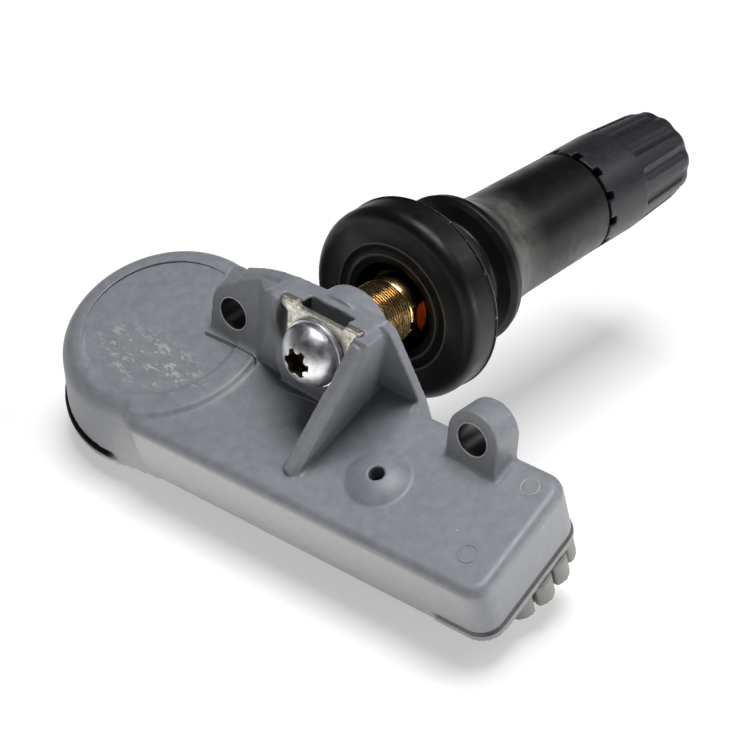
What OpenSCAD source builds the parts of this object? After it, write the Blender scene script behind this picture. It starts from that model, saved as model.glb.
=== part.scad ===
// Tyre pressure sensor on a snap-in rubber valve.
// Origin on the valve axis at the middle of the rim groove.
// +Y along the valve towards its cap, +Z up through the housing's top, X along the housing.
// Stations along the valve are measured from the tower's back; the groove is at rim_station.

/* [View] */
// which piece to draw, or all

/* [Layout] */
// angle between the valve axis and the housing's flat, degrees
tilt = 22.8; // [18:0.1:26]
// turn of the housing's long walls against the ear line, degrees
wall_turn = 2.9; // [0:0.1:4]
// height of the valve axis above the lip plane at the tower's back
axis_height = 12.3; // [12:0.1:13]
// distance from the housing's datum to the tower's back
axis_back = 7.0; // [6.8:0.1:7.4]
// station of the middle of the rim groove
rim_station = 12.3; // [12.2:0.1:12.4]

/* [Housing] */
// half width of the body towards the front
front_reach = 9.5; // [9:0.1:9.8]
// half width of the body towards the valve
back_reach = 5.1; // [4.9:0.1:5.4]
// where the square end stops
end_reach = 24.6; // [24:0.1:25.4]
// height of the main flat above the lip plane
body_height = 7.3; // [7:0.1:7.6]
// height of the battery end's flat above the lip plane
battery_height = 7.7; // [7.6:0.1:8]
// centre of the battery end along the body, towards the left
battery_reach = 19.5; // [19:0.1:20]
// centre of the battery end across the body
battery_offset = 1.3; // [1:0.1:1.6]
// outer radius of the battery end
battery_radius = 11.5; // [11.3:0.1:11.7]
// draft of the battery end's wall, degrees
battery_draft = 11; // [8:1:12]
// moulded wall thickness
wall = 1.1; // [1:0.05:1.3]
// radius of the body's upright corners
corner_radius = 2.2; // [2:0.1:2.6]
// radius of the body's top edge
edge_radius = 1.0; // [0.8:0.1:1.2]
// radius of the battery end's top edge
battery_edge = 1.8; // [1.4:0.1:2]
// how far the lip stands out of the wall
lip_out = 0.15; // [0.1:0.05:0.3]
// height of the lip
lip_height = 0.8; // [0.6:0.1:1]

/* [Tower and ears] */
// station of the face that the saddle plate bears on
tower_face = -4.4; // [-4.6:0.1:-4.2]
// height of the tower's top above the valve axis
tower_top = 3.9; // [3.7:0.1:4.1]
// radius of the round boss behind the plate slot
boss_radius = 4.3; // [4.1:0.1:4.6]
// radius of the clamp screw's clearance holes
screw_hole_radius = 1.6; // [1.55:0.05:1.8]
// radius of the two ear holes
ear_hole_radius = 1.6; // [1.5:0.05:1.75]
// left ear hole, across and above the valve axis
ear_left = -12.7; // [-13:0.1:-12.5]
// right ear hole, across
ear_right = 15.74; // [15.5:0.01:16]
// ear hole height against the valve axis, downwards
ear_drop = 3.25; // [3:0.05:3.5]
// radius of the ears' round tops
ear_radius = 2.8; // [2.6:0.1:3]
// thickness of the gusset
gusset_thick = 1.8; // [1.4:0.1:2.2]

/* [Pressure port] */
// radius of the port dome at its foot
dome_radius = 3.1; // [2.9:0.1:3.4]
// height of the port dome
dome_height = 0.9; // [0.7:0.1:1.1]
// radius of the pressure port
port_radius = 0.75; // [0.6:0.05:0.9]

/* [Bottom cover] */
// depth of the cover below the lip plane
cover_drop = 3.0; // [2.6:0.1:3.4]
// thickness of the cover's floor
cover_floor = 1.1; // [1:0.1:1.4]
// radius of the bow of the lobed tab
tab_bow = 9.0; // [8.6:0.1:9.4]
// radius of the tab's lobes
tab_lobe = 1.5; // [1.4:0.05:1.6]
// width of the slots between the lobes
tab_slot = 0.4; // [0.3:0.05:0.5]

/* [Clamp screw and plate] */
// radius of the screw shank
screw_radius = 1.4; // [1.35:0.05:1.45]
// radius of the screw head
head_radius = 3.05; // [2.9:0.05:3.15]
// height of the domed head above its washer
head_height = 2.3; // [2.1:0.1:2.5]
// radius of the washer under the head
washer_radius = 3.3; // [3.2:0.05:3.4]
// thickness of the washer
washer_thick = 0.6; // [0.4:0.05:0.7]
// radius across the lobes of the six-lobe recess
recess_radius = 1.4; // [1.3:0.05:1.45]
// depth of the recess
recess_depth = 1.5; // [1.2:0.1:1.7]
// length of shank inside the stem insert
screw_bite = 3.4; // [3:0.1:3.6]
// thickness of the saddle plate
plate_thick = 0.8; // [0.6:0.05:1]
// half width of the saddle plate over its top ears
plate_half = 4.6; // [4.4:0.1:4.7]

/* [Stem insert] */
// radius of the ridged inner end
stem_radius = 3.1; // [3:0.05:3.3]
// radius of the insert inside the rubber tube
stem_tube_radius = 3.3; // [3.1:0.05:3.4]
// crest radius of the valve thread under the cap
thread_radius = 3.85; // [3.8:0.01:3.9]
// pitch of the valve thread
thread_pitch = 0.794; // [0.79:0.001:0.8]
// station of the stem's open end
stem_end = 45.2; // [44.8:0.1:45.6]
// radius of the air passage
passage_radius = 1.3; // [1.1:0.05:1.4]
// radius of the cross hole in the inner end
cross_hole_radius = 0.45; // [0.35:0.05:0.55]
// radius of the chamber that holds the valve core
chamber_radius = 2.3; // [2.25:0.05:2.5]
// station where the chamber starts
chamber_start = 30.0; // [29:0.1:30.5]
// radial clearance of the screw in its thread, and of the cap on its thread
thread_clearance = 0.06; // [0.03:0.01:0.09]

/* [Rubber valve] */
// station of the flange's front face
flange_face = 5.3; // [5.2:0.1:5.6]
// outer radius of the flange
flange_radius = 9.5; // [9.3:0.1:9.7]
// station of the flange's parting ring
flange_ring = 8.77; // [8.7:0.01:8.9]
// radius of the counterbore round the insert
counterbore_radius = 4.4; // [4.2:0.1:4.8]
// depth of the counterbore
counterbore_depth = 3.2; // [2.8:0.1:3.4]
// radius of the rim groove: an 11.5 mm rim hole
groove_radius = 5.75; // [5.7:0.05:5.8]
// width of the rim groove's straight part
groove_width = 2.6; // [2.4:0.1:2.8]
// radius of the bulb that snaps behind the rim
bulb_radius = 7.5; // [7.4:0.1:7.7]
// station of the bulb's sharp ring
bulb_ring = 14.8; // [14.7:0.1:14.9]
// radius of the rubber tube at its end
tube_end_radius = 5.28; // [5.1:0.02:5.4]
// station of the rubber tube's end
tube_end = 32.6; // [32:0.1:33]

/* [Cap] */
// gap between the rubber tube and the cap's skirt
cap_gap = 0.35; // [0.3:0.05:0.6]
// radius of the cap at its skirt
cap_skirt_radius = 5.3; // [5.2:0.05:5.4]
// radius of the cap near its tip
cap_tip_radius = 4.75; // [4.6:0.05:4.9]
// station of the cap's tip
cap_tip = 48.0; // [47.6:0.1:48.4]
// number of flutes and of skirt notches
cap_flutes = 12; // [10:1:14]
// thickness of the cap's seal
cap_seal_thick = 1.2; // [1:0.1:1.4]

/* [Valve core] */
// radius of the pin
pin_radius = 0.45; // [0.4:0.01:0.5]
// running clearance round the pin
pin_clearance = 0.05; // [0.03:0.01:0.08]
// station of the core's inner end
core_start = 33.0; // [32.8:0.1:33.4]
// travel of the pin when it is pressed
pin_travel = 1.2; // [1:0.1:1.3]
// turns of the core spring
spring_turns = 6; // [5:1:7]
// radius of the core spring's wire
spring_wire = 0.14; // [0.12:0.01:0.16]

/* [Electronics] */
// radius of the coin cell
cell_radius = 8.0; // [7.8:0.1:8.2]
// height of the coin cell
cell_height = 3.2; // [3:0.1:3.3]
// thickness of the circuit board
board_thick = 1.0; // [0.8:0.1:1.2]
// width of the pressure sensor chip
chip_size = 5.0; // [4.6:0.1:5.2]
// height of the pressure sensor chip
chip_height = 1.7; // [1.5:0.1:1.9]

/* [Hidden] */
$fn = 72;
grip = 0.02;
battery_round = battery_edge * cos(battery_draft);
battery_lean = tan(battery_draft);
battery_hub = battery_radius - battery_round - (battery_height - battery_edge + battery_edge * sin(battery_draft)) * battery_lean;
gusset_lean = 0.31;
gusset_foot = 2.45;
tower_side = 2.75;
tower_back = 7.0;
block_left = -battery_reach + 2.4;
ceiling = body_height - wall;
battery_ceiling = battery_height - wall;
board_bottom = 0.6;
board_top = board_bottom + board_thick;
tab_height = 0.2;
cell_bottom = board_top + 0.5;
dome_x = 9.35;
dome_y = -2.6;
dome_sphere = (dome_radius * dome_radius + dome_height * dome_height) / (2 * dome_height);
plate_face = tower_face - plate_thick;
washer_face = plate_face - washer_thick;
cap_start = tube_end + cap_gap;
cap_bore = thread_radius + thread_clearance;
seal_face = stem_end + 0.1;
core_end = 44.2;
pin_tip = core_end - 1.4 + pin_travel + 0.8;
spring_start = core_start + 1.0;
spring_end = 40.6;

// carries the housing's own flat and lip plane into the valve's frame
module in_body() {
    rotate([tilt, 0, 0])
        translate([0, -(axis_back + rim_station * cos(tilt)), -(axis_height - rim_station * sin(tilt))])
            children();
}

// the same, along the housing's slightly turned long walls
module in_walls() {
    in_body() rotate([0, 0, wall_turn]) children();
}

// draws a shape seen along the valve, between two stations
module along_stem(from, to) {
    translate([0, to - rim_station, 0]) rotate([90, 0, 0]) linear_extrude(to - from) children();
}

// draws a shape seen from above the valve, between two heights
module above_stem(low, high) {
    translate([0, -rim_station, low]) linear_extrude(high - low) children();
}

// turns a profile of radius and station round the valve axis
module turned() {
    translate([0, -rim_station, 0]) rotate([-90, 0, 0]) rotate_extrude() children();
}

// a rod along the valve axis
module rod(radius, from, to) {
    translate([0, from - rim_station, 0]) rotate([-90, 0, 0]) cylinder(r = radius, h = to - from);
}

// a wall section with round top edges
module edged(width, height, round) {
    square([width, height - round]);
    translate([round, 0]) square([width - 2 * round, height]);
    for (x = [round, width - round]) translate([x, height - round]) circle(round);
}

// a moulded block with round upright corners and a round top edge
module moulded_block(left, right, front, back, high, corner, round) {
    translate([left + corner, back, 0]) rotate([90, 0, 90])
        mirror([1, 0, 0]) linear_extrude(right - left - 2 * corner) edged(back - front, high, round);
    translate([left, back - corner, 0]) rotate([90, 0, 0])
        linear_extrude(back - front - 2 * corner) edged(right - left, high, round);
    for (x = [left + corner, right - corner], y = [front + corner, back - corner])
        translate([x, y, 0]) rotate_extrude() {
            square([corner, high - round]);
            square([corner - round, high]);
            translate([corner - round, high - round]) intersection() {
                circle(round);
                square(round + 1);
            }
        }
}

// plan of the body between the walls, drawn in by an inset
module body_plan(inset) {
    corner = max(corner_radius, inset + 0.3);
    translate([-battery_reach, battery_offset]) circle(battery_radius - inset);
    translate([-battery_reach, -front_reach + inset])
        square([battery_reach + end_reach - corner, front_reach + back_reach - 2 * inset]);
    translate([0, -front_reach + corner])
        square([end_reach - inset, front_reach + back_reach - 2 * corner]);
    for (y = [-front_reach + corner, back_reach - corner])
        translate([end_reach - corner, y]) circle(corner - inset);
}

module inner_plan(inset) {
    difference() {
        body_plan(inset);
        translate([-battery_reach - 12, -front_reach - 3]) square([12 + battery_reach + block_left + inset, 6 + inset]);
    }
    translate([-battery_reach, battery_offset]) circle(battery_radius - inset);
}

module battery_end() {
    translate([-battery_reach, battery_offset, 0]) difference() {
        rotate_extrude()
            polygon([[0, 0], [battery_radius, 0],
                for (a = [battery_draft : (90 - battery_draft) / 8 : 90.1])
                    [battery_hub + battery_edge * cos(a), battery_height - battery_edge + battery_edge * sin(a)],
                [0, battery_height]]);
        // shallow insert mark, running out towards the front
        translate([0, 0, battery_height - 0.14]) rotate([0, 0, -35]) rotate([0, 1.2, 0]) cylinder(r = 8.0, h = 3);
    }
    // lip round the outer half
    translate([-battery_reach, battery_offset, 0]) rotate([0, 0, 105]) rotate_extrude(angle = 171)
        translate([battery_radius - 0.8, 0]) square([0.8 + lip_out, lip_height]);
}

// drafted blend between the battery end and the front wall
module front_blend() {
    intersection() {
        translate([-battery_reach, battery_offset, 0]) rotate([0, 0, 6])
            translate([-1, 0.06 - battery_radius, 0]) rotate([-battery_draft, 0, 0]) translate([0, 0, -3])
                cube([8.4, 3, ceiling + 3]);
        translate([-battery_reach - 2, -front_reach - 3, 0]) cube([14, 6, ceiling]);
    }
}

module battery_fillet() {
    intersection() {
        translate([-battery_reach, battery_offset, 0]) rotate_extrude() difference() {
            translate([battery_hub, body_height - 0.5]) square([battery_edge + 0.75, 0.9]);
            translate([battery_hub + battery_edge + 0.75, body_height + 0.9]) circle(0.9);
        }
        translate([block_left + 0.6, -front_reach + edge_radius, 0])
            cube([20, front_reach + back_reach - 2 * edge_radius, 12]);
    }
}

module ear(across) {
    along_stem(-2.17, 1.1) {
        translate([across, -ear_drop]) circle(ear_radius);
        translate([across - ear_radius, -8]) square([2 * ear_radius, 8 - ear_drop]);
    }
}

// the tower stands upright on the flat, cut square to the valve where the plate bears on it
module tower() {
    intersection() {
        in_body() translate([0, tower_back, 0]) rotate([90, 0, 0]) linear_extrude(tower_back - 1.5)
            polygon([[-5.6, 1], [-5.6, 20], [tower_side + 13 * gusset_lean, 20], [tower_side, 7], [tower_side, 1]]);
        along_stem(tower_face, 3) polygon([[-6, -14], [-6, tower_top - 0.4], [-5.6, tower_top], [4.6, tower_top],
            [5.2, tower_top - 0.5], [6, 0], [6, -14]]);
    }
    // back wall, with the part below the flat thick enough to meet the body
    in_body() translate([0, tower_back, 0]) rotate([90, 0, 0]) {
        linear_extrude(1.0) polygon([[-12.4, 5], [-12.4, 13.8], [-9.2, 15.5], [-6.7, 16.3], [-3.4, 16.8],
            [5.1, 16.9], [6.0, 16.1], [7.3, 7], [7.4, 1], [-5.6, 1], [-8, 5]]);
        linear_extrude(2.6) polygon([[-7, 1], [-7, body_height], [7.3, body_height], [7.4, 1]]);
    }
    // round boss that the stem insert seats on
    along_stem(-2.4, 0.3) circle(boss_radius);
    // web between the left ear and the pocket, dipping where it meets the tower's top
    intersection() {
        above_stem(-9, 6) polygon([[-12.8, -2.17], [-9.6, -2.17], [-5.1, -5.75], [-4.4, -5.9], [-4.4, 0.3], [-12.8, 0.3]]);
        in_body() translate([-14, 2.2, 5]) cube([12, tower_back - 2.2, 16]);
        union() {
            in_body() translate([0, 10, 0]) rotate([90, 0, 0]) linear_extrude(12)
                polygon([[-13, 5], [-13, 13.1], [-12.4, 13.7], [-9.2, 15.3], [-7.2, 15.9], [-4.4, 15.9], [-4.4, 5]]);
            along_stem(-8, 1) polygon([[-8.8, -9], [-8.8, 1.2], [-6.6, 3.3], [-5.8, 3.8], [-4.4, 3.8], [-4.4, -9]]);
        }
    }
    // the left ear swells back into the wall
    intersection() {
        in_body() translate([ear_left, 3.9, 10.15]) rotate([-90, 0, 0])
            cylinder(r1 = ear_radius - 0.1, r2 = ear_radius + 0.4, h = tower_back - 3.9);
        translate([-20, -2.17 - rim_station, -12]) cube([20, 20, 20]);
    }
    gusset();
}

// leaning gusset with a round ridge, its top closing the plate slot on the right
module gusset() {
    intersection() {
        in_body() translate([0, 5.5, 0]) rotate([90, 0, 0]) linear_extrude(13)
            polygon([[gusset_foot - gusset_thick, 6], [gusset_foot, 6],
                [gusset_foot + 12.3 * gusset_lean, 18.3], [gusset_foot - gusset_thick + 12.3 * gusset_lean, 18.3]]);
        in_body() translate([8, 0, 0]) rotate([90, 0, -90]) linear_extrude(10)
            polygon([[6.7, body_height - 0.7], [6.3, body_height], [-2.6, 16.5], [-3.1, 17.6], [-3.5, 18.4],
                [-5.5, 18.4], [-5.5, body_height - 0.7]]);
        along_stem(-30, 4) translate([-20, -20]) square([40, 20 + tower_top - 0.25]);
    }
    in_body() translate([gusset_foot + 0.3 - gusset_thick / 2, -6.1, body_height - 0.1])
        rotate([0, 45.1, 72]) cylinder(r1 = gusset_thick * 0.42, r2 = gusset_thick * 0.47, h = 13.9);
}

module housing() {
    color([0.47, 0.48, 0.49])
    difference() {
        union() {
            in_walls() {
                moulded_block(block_left, end_reach, -front_reach, back_reach, body_height, corner_radius, edge_radius);
                // lip round the square end
                linear_extrude(lip_height) intersection() {
                    body_plan(-lip_out);
                    translate([end_reach - 6, -20]) square([20, 40]);
                }
                battery_end();
                battery_fillet();
                front_blend();
            }
            ear(ear_left);
            ear(ear_right);
            tower();
            in_body() intersection() {
                translate([dome_x, dome_y, body_height + dome_height - dome_sphere]) sphere(r = dome_sphere);
                translate([dome_x, dome_y, body_height - 0.5]) cylinder(r = 5, h = 3);
            }
        }
        // room inside
        in_walls() {
            translate([0, 0, -1]) linear_extrude(ceiling + 1) intersection() {
                inner_plan(wall);
                translate([block_left + wall, -front_reach])
                    square([end_reach - block_left, front_reach + back_reach - wall]);
            }
            translate([-battery_reach, battery_offset, 0])
                cylinder(r1 = battery_radius - wall, r2 = battery_radius - wall - battery_ceiling * battery_lean, h = battery_ceiling);
            translate([-battery_reach, battery_offset, -1]) cylinder(r = battery_radius - wall, h = 1 + board_bottom);
            translate([block_left - 2, -front_reach + 3, -1]) cube([4, front_reach + back_reach - 5, ceiling + 1]);
            // parting grooves above the two end lips
            translate([-battery_reach, battery_offset, lip_height]) rotate([0, 0, 130])
                rotate_extrude(angle = 144) translate([battery_radius - 0.5, 0]) square([1, 0.4]);
            translate([0, 0, lip_height]) linear_extrude(0.3) difference() {
                translate([end_reach - 5.4, -front_reach - 1]) square([8, front_reach + back_reach]);
                body_plan(0.3);
            }
        }
        // ear holes
        for (x = [ear_left, ear_right]) translate([x, 0, -ear_drop]) rod(ear_hole_radius, -8, 4);
        // screw hole, plate slot and the deep pocket behind it
        rod(screw_hole_radius, -9, 2);
        rod(stem_radius + grip, 0.3, 5);
        along_stem(plate_face, tower_face) {
            translate([-plate_half - grip, 2.5]) square([2 * plate_half + 2 * grip, 8]);
            translate([-3.75, -3.2]) square([7.5, 12]);
        }
        above_stem(1.9, 6) translate([-2.6, tower_face - 0.1]) square([5.2, 1.3]);
        // room for the screw head and washer between the web and the gusset
        rod(washer_radius + 0.25, -12, plate_face);
        // pressure port
        in_body() translate([dome_x, dome_y, 0]) cylinder(r = port_radius, h = 12);
        // ejector marks on the main flat
        in_body() for (p = [[21.6, 3.8, 0.95], [21.05, -4.6, 1.1]])
            translate([p[0], p[1], body_height - 0.08]) difference() {
                cylinder(r = p[2], h = 1);
                translate([0, 0, -1]) cylinder(r = p[2] - 0.15, h = 3);
            }
    }
}

module bottom_cover() {
    color([0.42, 0.43, 0.44])
    in_walls() difference() {
        union() {
            translate([0, 0, -cover_drop]) linear_extrude(cover_drop) inner_plan(wall + 0.8);
            translate([0, 0, -0.6]) linear_extrude(0.6 + board_bottom) inner_plan(wall);
            // bowed tab at the square end, with four lobes
            translate([end_reach + 0.6 - tab_bow, 0, -cover_drop]) linear_extrude(cover_drop - 0.15) {
                for (a = [-25.5, -9.2, 9.2, 25.5]) rotate(a) translate([tab_bow - tab_lobe, 0]) circle(tab_lobe);
                intersection() {
                    circle(tab_bow - 0.7);
                    translate([tab_bow - 3.6, -4]) square([6, 8]);
                }
            }
        }
        translate([0, 0, cover_floor - cover_drop]) linear_extrude(9) inner_plan(wall + 1.8);
        for (a = [-19.4, -1.6, 16]) translate([end_reach + 0.6 - tab_bow, 0, -cover_drop - 1])
            rotate([0, 0, a]) translate([tab_bow - 1.1, 0, 0]) cube([2, tab_slot, cover_drop + 1]);
        // shallow pads left by the mould on the underside
        for (p = [[-battery_reach, battery_offset, 6.5], [end_reach - 8.6, -2, 3.2]])
            translate([p[0], p[1], -cover_drop - 1]) difference() {
            cylinder(r = p[2], h = 1.15);
            cylinder(r = p[2] - 0.5, h = 3);
        }
    }
}

module potting() {
    color([0.12, 0.12, 0.13])
    in_walls() translate([0, 0, cover_floor - cover_drop])
        linear_extrude(board_bottom + cover_drop - cover_floor) inner_plan(wall + 1.8);
}

module circuit_board() {
    color([0.05, 0.3, 0.16])
    in_walls() difference() {
        translate([0, 0, board_bottom]) linear_extrude(board_thick) inner_plan(wall + 0.45);
        for (p = [[block_left + 6.1, -6.2], [end_reach - 3.6, -6], [end_reach - 3.6, 1.8]])
            translate([p[0], p[1], 0]) cylinder(r = 0.6, h = 4);
    }
}

module coin_cell() {
    color([0.75, 0.75, 0.74])
    in_walls() translate([-battery_reach, battery_offset, cell_bottom]) rotate_extrude() {
        square([cell_radius - 0.7, cell_height]);
        translate([0, 0.5]) square([cell_radius, cell_height - 1]);
        for (z = [0.5, cell_height - 0.5]) translate([cell_radius - 0.7, z]) circle(0.5);
    }
}

module cell_tab_upper() {
    color([0.8, 0.79, 0.74])
    in_walls() translate([-battery_reach, battery_offset, 0]) {
        translate([-2, -1.5, cell_bottom + cell_height]) cube([11.2, 3, tab_height]);
        translate([cell_radius + 1, -1.5, board_top]) cube([tab_height, 3, cell_bottom + cell_height - board_top + tab_height]);
        translate([cell_radius + 1, -1.5, board_top]) cube([1.4, 3, tab_height]);
    }
}

module cell_tab_lower() {
    color([0.8, 0.79, 0.74])
    in_walls() translate([-battery_reach, battery_offset, 0]) {
        translate([-6, -1.5, cell_bottom - tab_height]) cube([9, 3, tab_height]);
        translate([3 - tab_height, -1.5, board_top]) cube([tab_height, 3, cell_bottom - board_top]);
        translate([3 - tab_height, -1.5, board_top]) cube([2, 3, tab_height]);
    }
}

module sensor_chip() {
    color([0.1, 0.1, 0.11])
    in_body() translate([dome_x, dome_y, board_top]) difference() {
        translate([-chip_size / 2, -chip_size / 2, 0]) cube([chip_size, chip_size, chip_height]);
        translate([0, 0, chip_height - 0.4]) cylinder(r = 0.5, h = 1);
    }
}

module port_seal() {
    color([0.2, 0.2, 0.22])
    in_body() translate([dome_x, dome_y, board_top + chip_height]) difference() {
        cylinder(r = 2.1, h = ceiling - board_top - chip_height);
        translate([0, 0, -1]) cylinder(r = 0.9, h = 9);
    }
}

module coil_core() {
    color([0.25, 0.24, 0.24])
    in_walls() translate([-4.6, -5.2, board_top]) {
        cube([1.4, 2.8, 2.6]);
        translate([6.6, 0, 0]) cube([1.4, 2.8, 2.6]);
        translate([1, 0.8, 0.7]) cube([6, 1.2, 1.2]);
    }
}

module coil_winding() {
    color([0.6, 0.3, 0.13])
    in_walls() translate([-3.2, -3.8, board_top + 1.3]) rotate([0, 90, 0]) difference() {
        cylinder(r = 1.25, h = 5.2);
        translate([-0.6, -0.6, -1]) cube([1.2, 1.2, 9]);
    }
}

module crystal() {
    color([0.7, 0.7, 0.68])
    in_walls() translate([0, 0.6, board_top]) cube([3.2, 2.5, 0.8]);
}

module capacitors() {
    color([0.55, 0.42, 0.3])
    in_walls() for (p = [[4.6, 2.2], [4.6, 0.6], [end_reach - 10.3, -6.4], [end_reach - 8.2, -6.4]])
        translate([p[0], p[1], board_top]) cube([1.6, 0.8, 0.8]);
}

module antenna_strip() {
    color([0.78, 0.6, 0.35])
    in_walls() {
        translate([end_reach - 11, 2.4, board_top]) cube([0.4, 1, 3.2]);
        translate([end_reach - 11, 2.4, board_top + 2.8]) cube([9, 1, 0.4]);
        translate([end_reach - 3, -4.6, board_top + 2.8]) cube([1, 8, 0.4]);
        translate([end_reach - 3, -4.6, board_top]) cube([1, 0.4, 3.2]);
    }
}

module saddle_plate() {
    color([0.7, 0.68, 0.63])
    along_stem(plate_face, tower_face) difference() {
        polygon([[-plate_half, 3.9], [-plate_half, 3.1], [-3.7, 2.6], [-3.6, -1.2], [-2.5, -3.1],
            [2.5, -3.1], [3.6, -1.2], [3.7, 2.6], [plate_half, 3.1], [plate_half, 3.9],
            [2.9, 3.9], [2.6, 3.4], [-2.6, 3.4], [-2.9, 3.9]]);
        circle(screw_hole_radius);
    }
}

module six_lobe() {
    circle(recess_radius * 0.74);
    for (i = [0 : 5]) rotate([0, 0, i * 60]) translate([recess_radius * 0.74, 0]) circle(recess_radius * 0.26);
}

module clamp_screw() {
    color([0.72, 0.72, 0.72])
    difference() {
        union() {
            // domed head
            intersection() {
                rod(head_radius, washer_face - head_height, washer_face);
                translate([0, washer_face + 0.9 - rim_station, 0]) sphere(r = head_radius + 0.3);
            }
            rod(screw_radius, washer_face - 0.2, screw_bite);
        }
        along_stem(washer_face - head_height - 1, washer_face - head_height + recess_depth) six_lobe();
    }
}

module screw_washer() {
    color([0.72, 0.72, 0.72])
    difference() {
        rod(washer_radius, washer_face, plate_face);
        rod(screw_radius + 0.1, washer_face - 1, plate_face + 1);
    }
}

module stem_insert() {
    color([0.78, 0.6, 0.25])
    difference() {
        union() {
            rod(stem_radius, 0.3, 6.4);
            rod(stem_tube_radius, 6.3, tube_end);
            // barbs that hold the rubber
            for (s = [9.2, 11.2, 17, 20, 23, 26]) turned() polygon([[2, s], [stem_tube_radius, s],
                [stem_tube_radius + 0.5, s + 0.4], [stem_tube_radius, s + 1.4], [2, s + 1.4]]);
            rod(thread_radius, tube_end, stem_end);
        }
        // fine ridges on the inner end
        for (i = [0 : 7]) turned() polygon([[stem_radius + 0.1, 0.65 + i * 0.45],
            [stem_radius - 0.14, 0.85 + i * 0.45], [stem_radius + 0.1, 1.05 + i * 0.45]]);
        // valve thread
        for (i = [0 : 13]) turned() polygon([[thread_radius + 0.1, tube_end + 1.2 + i * thread_pitch],
            [thread_radius - 0.38, tube_end + 1.5 + i * thread_pitch],
            [thread_radius + 0.1, tube_end + 1.8 + i * thread_pitch]]);
        turned() polygon([[thread_radius - 0.4, stem_end + 0.1], [thread_radius + 0.1, stem_end + 0.1],
            [thread_radius + 0.1, stem_end - 0.4]]);
        rod(screw_radius + thread_clearance, 0, 4.2);
        rod(passage_radius, 3.8, chamber_start + 1);
        rod(chamber_radius, chamber_start, stem_end + 1);
        // cross hole that lets tyre air into the passage
        translate([0, 4.75 - rim_station, 0]) rotate([0, 96, 0]) cylinder(r = cross_hole_radius, h = 20, center = true);
    }
}

module valve_rubber() {
    color([0.06, 0.06, 0.07])
    difference() {
        turned() difference() {
            union() {
                translate([0, flange_face]) square([flange_radius - 1.0, 3.4]);
                translate([flange_radius - 1.0, flange_face + 1.1]) circle(1.1);
                polygon([[0, flange_face + 1.1], [flange_radius + 0.1, flange_face + 1.1],
                    [flange_radius, flange_ring], [0, flange_ring]]);
                // parting ring and the flange's sloping back
                polygon([[0, flange_ring - 0.12], [flange_radius, flange_ring - 0.12],
                    [flange_radius + 0.12, flange_ring], [flange_radius, flange_ring + 0.12],
                    [flange_radius - 0.1, flange_ring + 0.3], [flange_radius - 0.7, flange_ring + 0.9],
                    [groove_radius + 1.2, rim_station - groove_width / 2 - 0.35],
                    [groove_radius, rim_station - groove_width / 2],
                    [groove_radius, rim_station + groove_width / 2],
                    [bulb_radius - 0.5, bulb_ring - 0.55], [bulb_radius, bulb_ring],
                    [bulb_radius - 0.2, bulb_ring + 0.8], [bulb_radius - 0.8, bulb_ring + 1.7],
                    [bulb_radius - 1.55, bulb_ring + 3.0], [bulb_radius - 1.95, bulb_ring + 4.6],
                    [tube_end_radius + 0.14, bulb_ring + 6.6],
                    [tube_end_radius, tube_end], [0, tube_end]]);
            }
            // counterbore round the insert, with two raised rings left on the face
            translate([0, flange_face - 1]) square([counterbore_radius, 1 + counterbore_depth]);
            for (r = [5.2, 6.3]) translate([r, flange_face]) circle(0.12);
        }
        rod(stem_radius, 5, 6.4);
        rod(stem_tube_radius, 6.3, tube_end + 1);
        for (s = [9.2, 11.2, 17, 20, 23, 26]) turned() polygon([[2, s], [stem_tube_radius, s],
            [stem_tube_radius + 0.5, s + 0.4], [stem_tube_radius, s + 1.4], [2, s + 1.4]]);
    }
}

module core_body() {
    color([0.8, 0.66, 0.35])
    difference() {
        turned() difference() {
            union() {
                translate([0, core_start]) square([1.7, 9]);
                translate([0, 41]) square([chamber_radius, core_end - 41]);
                translate([0, core_start]) square([1.2, 1]);
            }
            square([pin_radius + pin_clearance, 60]);
            translate([0, spring_start]) square([1.25, spring_end + 0.5 - spring_start]);
            translate([0, core_end - 1.4]) square([1.3, 3]);
        }
        // driver slot across the head
        translate([-3, core_end - 1.6 - rim_station, -0.5]) cube([6, 3, 1]);
    }
}

module core_gasket() {
    color([0.6, 0.1, 0.08])
    turned() polygon([[1.7, 36], [chamber_radius - 0.25, 36], [chamber_radius, 36.8], [chamber_radius, 38.2],
        [1.7, 38.6]]);
}

module core_pin() {
    color([0.8, 0.66, 0.35])
    turned() difference() {
        union() {
            translate([0, core_start - 1.4]) square([pin_radius, pin_tip - core_start + 1.4]);
            translate([0, pin_tip - 0.5]) square([0.75, 0.5]);
            translate([0, spring_end]) square([1.1, 0.4]);
            translate([0, core_start - 1.4]) square([1.2, 0.5]);
        }
        translate([-2, 0]) square([2, 60]);
    }
}

module pin_seal() {
    color([0.08, 0.08, 0.09])
    turned() difference() {
        translate([pin_radius, core_start - 0.9]) square([1.25 - pin_radius, 0.87]);
        translate([1.25, core_start - 0.03]) circle(0.2);
    }
}

// slice of a round wire, drawn square to the spring's axis
module wire_slice(coil, wire, rise) {
    polygon([for (k = [-5 : 5]) let (t = k / 5 * wire * 0.98, w = sqrt(wire * wire - t * t))
            [(coil + w) * cos(t / rise * 360), (coil + w) * sin(t / rise * 360)],
        for (k = [5 : -1 : -5]) let (t = k / 5 * wire * 0.98, w = sqrt(wire * wire - t * t))
            [(coil - w) * cos(t / rise * 360), (coil - w) * sin(t / rise * 360)]]);
}

module core_spring() {
    color([0.7, 0.7, 0.7])
    translate([0, spring_start - rim_station + 0.01, 0]) rotate([-90, 0, 0])
        linear_extrude(height = spring_end - spring_start - 0.02, twist = -360 * spring_turns, slices = 16 * spring_turns, $fn = 16)
            wire_slice(0.85, spring_wire, (spring_end - spring_start) / spring_turns);
}

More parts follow.
